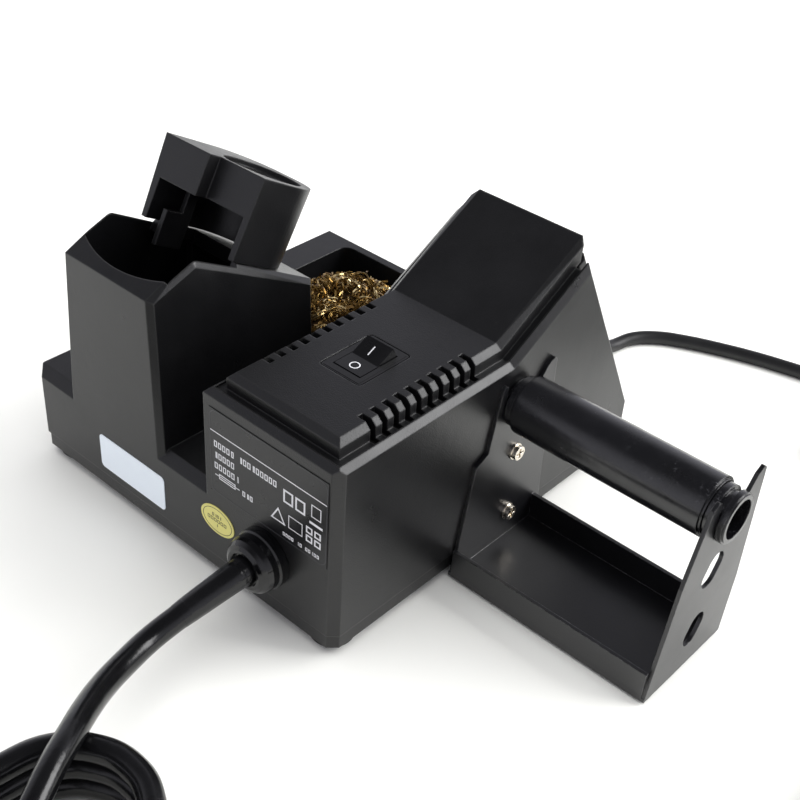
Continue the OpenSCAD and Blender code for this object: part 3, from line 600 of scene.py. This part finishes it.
IRON_TAIL = [
    (-110.3, -190, 3.2), (-113.5, -180, 1.6), (-119, -171, 0.8), (-125, -162, 2.2),
    (-129, -153, 4.8), (-129.8, -148.5, 5.95), (-130, -145.2, 6.1)
]
COIL_MID = (-78.0, -200.0)
COIL_LOW = -1.0
COIL_TURNS = 5.25
COIL_STEPS = 24
COIL_OUTER = 31.5
COIL_SHIFTS = (
    (0.75, 0.95, COIL_OUTER, 26.5), (1.75, 1.95, 26.5, 21.5),
    (3.75, 3.95, 21.5, 26.5), (4.75, 4.95, 26.5, COIL_OUTER)
)
TIE_RADIUS = 0.7


def half_turn(mid_y, start, z):
    """Seven points round one end of the hank, clockwise seen from above."""
    points = []
    for step in range(7):
        angle = math.radians(start - 30 * step)
        points.append((HANK_X + HANK_R * math.cos(angle), mid_y + HANK_R * math.sin(angle), z))
    return points


def hank_points():
    """Three layers of one hank: near end, outer run, far end, and up along the inner run."""
    points = []
    low_x = HANK_X - HANK_R
    high_x = HANK_X + HANK_R
    for layer in range(HANK_LAYERS):
        z = layer * MAINS_DIA
        points += half_turn(HANK_NEAR_Y, 180, z)
        points += [(high_x, y, z) for y in (173, 145, 117)]
        points += half_turn(HANK_FAR_Y, 0, z)
        if layer < HANK_LAYERS - 1:
            for y, climb in HANK_CLIMB:
                points.append((low_x, y, z + climb * MAINS_DIA))
    return points


def coil_radius(turn):
    """Out to in for the first layer, in to out for the second, with short steps between turns."""
    for start, end, r0, r1 in COIL_SHIFTS:
        if turn <= start:
            return r0
        if turn < end:
            return r0 + (r1 - r0) * (turn - start) / (end - start)
    return COIL_OUTER


def coil_points():
    """The turns of the iron's lead, clockwise from the side next to the station."""
    points = []
    for step in range(int(COIL_TURNS * COIL_STEPS) + 1):
        turn = step / COIL_STEPS
        angle = math.radians(-90) - 2 * math.pi * turn
        radius = coil_radius(turn)
        rise = min(max((turn - 2.75) / 0.2, 0.0), 1.0) * IRON_DIA
        points.append((
            COIL_MID[0] + radius * math.cos(angle),
            COIL_MID[1] + radius * math.sin(angle),
            COIL_LOW + rise
        ))
    return points


def add_tie(name, mid, half_w, half_h):
    """A wire tie round a bundle that runs along Y, with its two ends twisted together on top."""
    wire = TIE_RADIUS * MM
    loop = []
    for step in range(12):
        angle = math.pi * step / 6
        across = half_w * math.copysign(abs(math.cos(angle)) ** 0.6, math.cos(angle))
        up = half_h * math.copysign(abs(math.sin(angle)) ** 0.6, math.sin(angle))
        loop.append(at(mid[0] + across, mid[1], mid[2] + up))
    tube_piece(name, loop, wire, TIE, "station", closed=True)
    twist = []
    for step in range(13):
        angle = math.pi * step / 2
        sideways = 0.8 * math.cos(angle)
        up = half_h + 0.9 + 0.8 * math.sin(angle)
        twist.append(at(mid[0] + sideways, mid[1] + 1.2 * step, mid[2] + up))
    tube_piece(name + "_twist", twist, wire, TIE, "station")


def add_mains_cord():
    """The mains lead, from its bush over and into the hank, to the plug beside it."""
    points = [at(*p) for p in RELIEF_ROUTE[:1] + RELIEF_ROUTE[2:-1] + MAINS_ROUTE]
    points += [at(*p) for p in hank_points() + MAINS_TAIL]
    cord = tube_piece("mains_cord", points, MM * MAINS_DIA / 2, SURFACES["cord_sheath"],
                      "station")
    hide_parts("mains_lead", "mains_hank", "mains_tail")


def add_iron_cord():
    """The iron's lead, from the front lip along the bench into its coil, to the iron."""
    points = [at(36, -154, 9)] + [at(*p) for p in IRON_ROUTE + coil_points() + IRON_TAIL]
    cord = tube_piece("iron_cord", points, MM * IRON_DIA / 2, SURFACES["iron_cord_sheath"],
                      "station")
    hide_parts("iron_lead", "iron_coil", "iron_lead_tail")


def add_mains_boot():
    """Short tapered sleeve round the lead where it leaves its bush."""
    steps = 20
    route = [Vector(p) for p in RELIEF_ROUTE]
    points = []
    radii = []
    for step in range(steps + 1):
        place = step / steps * (len(route) - 1)
        k = min(int(place), len(route) - 2)
        points.append(at(*route[k].lerp(route[k + 1], place - k)))
        radii.append(4.4 - 0.82 * step / steps)
    boot = tube_piece("mains_boot", points, MM, SURFACES["cord_sheath"], "station",
                      radii=radii)
    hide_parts("mains_relief")


add_mains_cord()
add_iron_cord()
add_mains_boot()
add_tie("hank_tie_low", (HANK_X - HANK_R, 188, 7.2), 4.0, 10.0)
add_tie("hank_tie_high", (HANK_X + HANK_R, 188, 7.2), 4.0, 10.0)
add_tie("coil_tie", (COIL_MID[0] + 26.5, COIL_MID[1], 1.9), 8.2, 4.6)

# ---- prints ----

# Pairs of heights, low and high, that each print takes up in its frame.
PRINT = (0.1, 0.24)
STROKE = 0.34
LIT = {"0": "abcdef", "3": "abcdg", "5": "acdfg"}
SEGMENTS = {
    "a": (1, 10, 5, 1), "g": (1, 5, 5, 1), "d": (1, 0, 5, 1), "f": (0, 5.6, 1, 4.8),
    "b": (6, 5.6, 1, 4.8), "e": (0, 0.6, 1, 4.8), "c": (6, 0.6, 1, 4.8)
}
SEGMENT_GAP = 0.1
DIGITS_CORNER = (13.05, -24.45)
DIGIT_PITCH = 8.6
DIGIT_DEPTH = (3.15, 3.45)
KEYS_X = {"key_up": 13.5, "key_down": 25.5, "key_set": 37.5}
KEYS_Y = -41.0
KEY_MARK = (6.55, 6.64)
SWITCH_MARK = (-0.03, 0.04)


def frame_of(shape, x0, y0, x1, y1, stroke=STROKE):
    """The outline of a rectangle, drawn with a stroke."""
    inner = rect(x0 + stroke, y0 + stroke, x1 - stroke, y1 - stroke)
    band(shape, BACK, rect(x0, y0, x1, y1), inner, *PRINT)


def glyph_row(shape, start, end, mid, height, widths, stroke=STROKE):
    """Small empty boxes in a row where the real label has writing; a 0 leaves a gap."""
    pitch = (start - end) / len(widths)
    for i, width in enumerate(widths):
        if width:
            right = start - pitch * (i + 1) + 0.25 * pitch
            frame_of(shape, right, mid - height / 2, right + width * pitch * 0.75, mid + height / 2, stroke)


def add_label_print():
    """Plain boxes, a fuse symbol and lines, in the places of the rating label's print."""
    shape = bmesh.new()
    slab(shape, BACK, rect(3.6, 51.3, 48.2, 51.62), *PRINT)
    glyph_row(shape, 46.8, 21.8, 47.4, 2.1, (1, 1, 1, 1, 0.8, 0, 0.5, 1, 1, 0.6, 1, 1, 1, 1, 1))
    glyph_row(shape, 46.8, 38.4, 43.6, 2.1, (0.6, 1, 1, 1, 1))
    glyph_row(shape, 46.8, 36.6, 39.9, 2.1, (1, 1, 1, 1, 1, 0.4))
    frame_of(shape, 38.4, 35.7, 45.1, 37.5)
    slab(shape, BACK, rect(36.7, 36.45, 46.7, 36.75), *PRINT)
    glyph_row(shape, 35.6, 31.2, 36.3, 1.8, (1, 0.6, 1))
    frame_of(shape, 15.9, 43.3, 19.6, 47.7, 0.6)
    frame_of(shape, 11.4, 43.3, 15.1, 47.7, 0.6)
    frame_of(shape, 5.6, 44.6, 9.2, 48.8, 0.3)
    slab(shape, BACK, rect(5.0, 42.1, 9.8, 42.9), *PRINT)
    triangle = [(18.7, 35.2), (24.4, 35.2), (21.55, 40.1)]
    hollow = [(19.5, 35.65), (23.6, 35.65), (21.55, 39.2)]
    band(shape, BACK, triangle, hollow, *PRINT)
    frame_of(shape, 12.3, 35.4, 17.6, 39.8, 0.26)
    for x, z in ((8.6, 38.2), (5.5, 38.2), (8.6, 35.2), (5.5, 35.2)):
        frame_of(shape, x, z, x + 2.4, z + 2.3, 0.5)
    glyph_row(shape, 19.7, 5.8, 32.1, 1.2, (1, 1, 1, 1, 0, 0.4, 1, 0, 1, 1, 0.4, 1, 1), 0.24)
    mesh_piece("label_print", shape, WHITE_PRINT, "station")
    shape = bmesh.new()
    band(shape, BACK, rounded(3.5, 30.2, 48.3, 58.6, 2.4), rounded(3.68, 30.38, 48.12, 58.42, 2.25), *PRINT)
    mesh_piece("label_border", shape, FAINT_PRINT, "station")


def add_sticker_print():
    """A ring and two rows of plain boxes on the round sticker."""
    shape = bmesh.new()
    middle = (46.5, 19.3)
    band(shape, BACK, oval(middle, 6.1, 4.2, 48), oval(middle, 5.9, 4.03, 48), *PRINT)
    glyph_row(shape, 48.6, 44.6, 20.9, 1.1, (1, 0.4, 1, 0.4), 0.2)
    glyph_row(shape, 50.6, 42.4, 19.2, 1.2, (1, 1, 1, 1, 1, 1), 0.2)
    slab(shape, BACK, rect(46.35, 17.0, 46.6, 18.0), *PRINT)
    mesh_piece("sticker_print", shape, DARK_PRINT, "station")


def add_switch_marks():
    """The ring for off and the bar for on."""
    shape = bmesh.new()
    ring = (0, 3.86)
    band(shape, ROCKER_BACK, oval(ring, 1.57, 1.57), oval(ring, 1.24, 1.24), *SWITCH_MARK)
    slab(shape, ROCKER_FRONT, rect(0.1, -4.75, 0.46, -1.65), *SWITCH_MARK)
    mesh_piece("switch_marks", shape, WHITE_PRINT, "rocker")


def add_key_marks():
    """Up, down and set marks on the three keys."""
    up = [(-1.7, -1.3), (1.7, -1.3), (0, 1.7)]
    down = [(x, -y) for x, y in up]
    marks = {"key_up": up, "key_down": down, "key_set": rect(-1.2, -1.2, 1.2, 1.2)}
    for body, outline in marks.items():
        shape = bmesh.new()
        slab(shape, FRONT, [(KEYS_X[body] + x, KEYS_Y + y) for x, y in outline], *KEY_MARK)
        mesh_piece(body + "_mark", shape, WHITE_PRINT, body)


def add_digits():
    """The lit bars of the display."""
    shape = bmesh.new()
    for i, figure in enumerate("350"):
        for segment in LIT[figure]:
            left, low, width, height = SEGMENTS[segment]
            x = DIGITS_CORNER[0] + DIGIT_PITCH * i + left
            y = DIGITS_CORNER[1] + low
            outline = rect(x, y, x + width - SEGMENT_GAP, y + height - SEGMENT_GAP)
            slab(shape, FRONT, outline, *DIGIT_DEPTH)
    mesh_piece("lit_digits", shape, LIT_RED, "station")


add_label_print()
add_sticker_print()
add_switch_marks()
add_key_marks()
add_digits()

# ---- brass wool ----

WOOL_MID = (91.0, -98.0)
WOOL_R = 24.6
WOOL_LOW = 9.0
TOP_CURLS = 560
SIDE_CURLS = 320
RIBBON_CORNERS = ((0.5, 0.07), (-0.5, 0.07), (-0.5, -0.07), (0.5, -0.07))
CORE_SIDES = 44
CORE_DEPTH = 3.4
CORE_WALL = [(0.90, 8.4), (0.95, 14.0), (0.93, 19.0)]
CORE_TOP = [0.93 - 0.085 * i for i in range(1, 11)]
chance = random.Random(7)


def wool_top(x, y):
    """Height of the heap at a place measured from its middle, with a dimple in the middle."""
    reach = min(math.hypot(x, y) / WOOL_R, 1.0)
    return 24.0 + 11.0 * (1 - reach ** 2.6) - 5.0 * math.exp(-(reach / 0.25) ** 2)


def wool_point(spot):
    """The point, kept inside the round heap and in its place in the well."""
    reach = math.hypot(spot.x, spot.y)
    inside = min(1.0, WOOL_R / max(reach, 1e-6))
    return at(WOOL_MID[0] + spot.x * inside, WOOL_MID[1] + spot.y * inside, max(spot.z, WOOL_LOW))


def any_axis(flat):
    """A random direction; a low number keeps it close to level."""
    turn = chance.uniform(0, 2 * math.pi)
    return Vector((math.cos(turn), math.sin(turn), chance.gauss(0, flat))).normalized()


def add_curl(shape, middle):
    """One shaving: a thin closed ribbon that winds round an axis and opens out."""
    axis = any_axis(0.7)
    across = axis.cross(Vector((0.1, 0.2, 1))).normalized()
    third = axis.cross(across)
    radius = chance.uniform(0.8, 2.6)
    turns = chance.uniform(0.8, 2.4)
    width = chance.uniform(0.35, 0.8)
    pitch = chance.uniform(0.8, 4.5)
    start = chance.uniform(0, 2 * math.pi)
    steps = int(9 * turns) + 4
    rings = []
    for step in range(steps + 1):
        along = step / steps
        angle = start + 2 * math.pi * turns * along
        out = math.cos(angle) * across + math.sin(angle) * third
        spot = middle + out * radius * (0.65 + 0.7 * along) + axis * pitch * (along - 0.5)
        rings.append([
            shape.verts.new(wool_point(spot + axis * width * a + out * b)) for a, b in RIBBON_CORNERS
        ])
    skin(shape, rings)


def core_point(share, height, angle):
    """A point of the core; without a height it lies a little under the heap's top."""
    reach = WOOL_R * share + chance.uniform(-0.7, 0.3)
    x, y = reach * math.cos(angle), reach * math.sin(angle)
    if height is None:
        height = wool_top(x, y) - CORE_DEPTH + chance.uniform(-0.9, 0.9)
    return at(WOOL_MID[0] + x, WOOL_MID[1] + y, height)


def add_wool_core():
    """A rough dark heap under the curls, so that no gap shows the well's floor; its dark brown is painted
    shade for the heap's shaded depths.
    """
    shape = bmesh.new()
    angles = [2 * math.pi * i / CORE_SIDES for i in range(CORE_SIDES)]
    rings = []
    for share, height in CORE_WALL + [(share, None) for share in CORE_TOP]:
        rings.append([shape.verts.new(core_point(share, height, angle)) for angle in angles])
    skin(shape, rings)
    mesh_piece("wool_core", shape, WOOL_SHADE_CORE, "brass_wool", smooth=True)


def add_wool():
    """All the curls: over the top of the heap and round its side."""
    shape = bmesh.new()
    for _ in range(TOP_CURLS):
        reach = 0.93 * WOOL_R * math.sqrt(chance.random())
        turn = chance.uniform(0, 2 * math.pi)
        x, y = reach * math.cos(turn), reach * math.sin(turn)
        add_curl(shape, Vector((x, y, wool_top(x, y) - chance.uniform(0.3, 3.6))))
    for _ in range(SIDE_CURLS):
        turn = chance.uniform(0, 2 * math.pi)
        reach = WOOL_R - chance.uniform(1.0, 2.6)
        spot = Vector((reach * math.cos(turn), reach * math.sin(turn), chance.uniform(10, 24)))
        add_curl(shape, spot)
    wool = mesh_piece("brass_curls", shape, SURFACES["brass_shavings"], "brass_wool")
    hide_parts("brass_wool")


add_wool_core()
add_wool()

# ---- floor and light ----

WORLD_STOPS = ((0.0, 0.9), (0.34, 0.75), (0.59, 0.5), (0.77, 0.12), (1.0, 0.08))


def add_floor():
    """The plain pale floor that the station stands on."""
    s = Surface("floor", roughness=0.6)
    s.tone((0.97, 0.97, 0.925), 0.01, 3.0)
    shape = bmesh.new()
    bmesh.ops.create_grid(shape, x_segments=8, y_segments=8, size=4.0)
    data = bpy.data.meshes.new("floor")
    shape.to_mesh(data)
    shape.free()
    data.materials.append(s.material)
    floor = bpy.data.objects.new("floor", data)
    floor.location = (0, 0, cad_box[0][2])
    bpy.context.collection.objects.link(floor)


def add_softbox(name, place, aim, side, power, glossy=True):
    """A square area light, aimed at a place."""
    data = bpy.data.lights.new(name, "AREA")
    data.shape = "RECTANGLE"
    data.size = side
    data.size_y = side
    data.energy = power
    light = bpy.data.objects.new(name, data)
    light.location = place
    light.rotation_euler = (Vector(aim) - Vector(place)).to_track_quat("-Z", "Y").to_euler()
    light.visible_glossy = glossy
    bpy.context.collection.objects.link(light)


def add_world():
    """Bright near the horizon and dark overhead, as in a tent with its light from the sides."""
    world = bpy.data.worlds.new("world")
    bpy.context.scene.world = world
    world.use_nodes = True
    tree = world.node_tree
    coords = tree.nodes.new("ShaderNodeTexCoord")
    parts = tree.nodes.new("ShaderNodeSeparateXYZ")
    ramp = tree.nodes.new("ShaderNodeValToRGB")
    back = tree.nodes["Background"]
    set_stops(ramp, [(position, (value, value, value * 1.1, 1)) for position, value in WORLD_STOPS])
    tree.links.new(coords.outputs["Generated"], parts.inputs["Vector"])
    tree.links.new(parts.outputs["Z"], ramp.inputs["Fac"])
    tree.links.new(ramp.outputs["Color"], back.inputs["Color"])
    back.inputs["Strength"].default_value = 1.0


add_floor()
add_world()
add_softbox("overhead", (0.1, -0.1, 1.6), (0, 0, 0), 2.4, 33, glossy=False)
add_softbox("side", (-0.88, -0.93, 0.78), (0, 0, 0.03), 1.0, 24)
bpy.context.scene.view_settings.view_transform = "Standard"
bpy.context.scene.view_settings.look = "None"
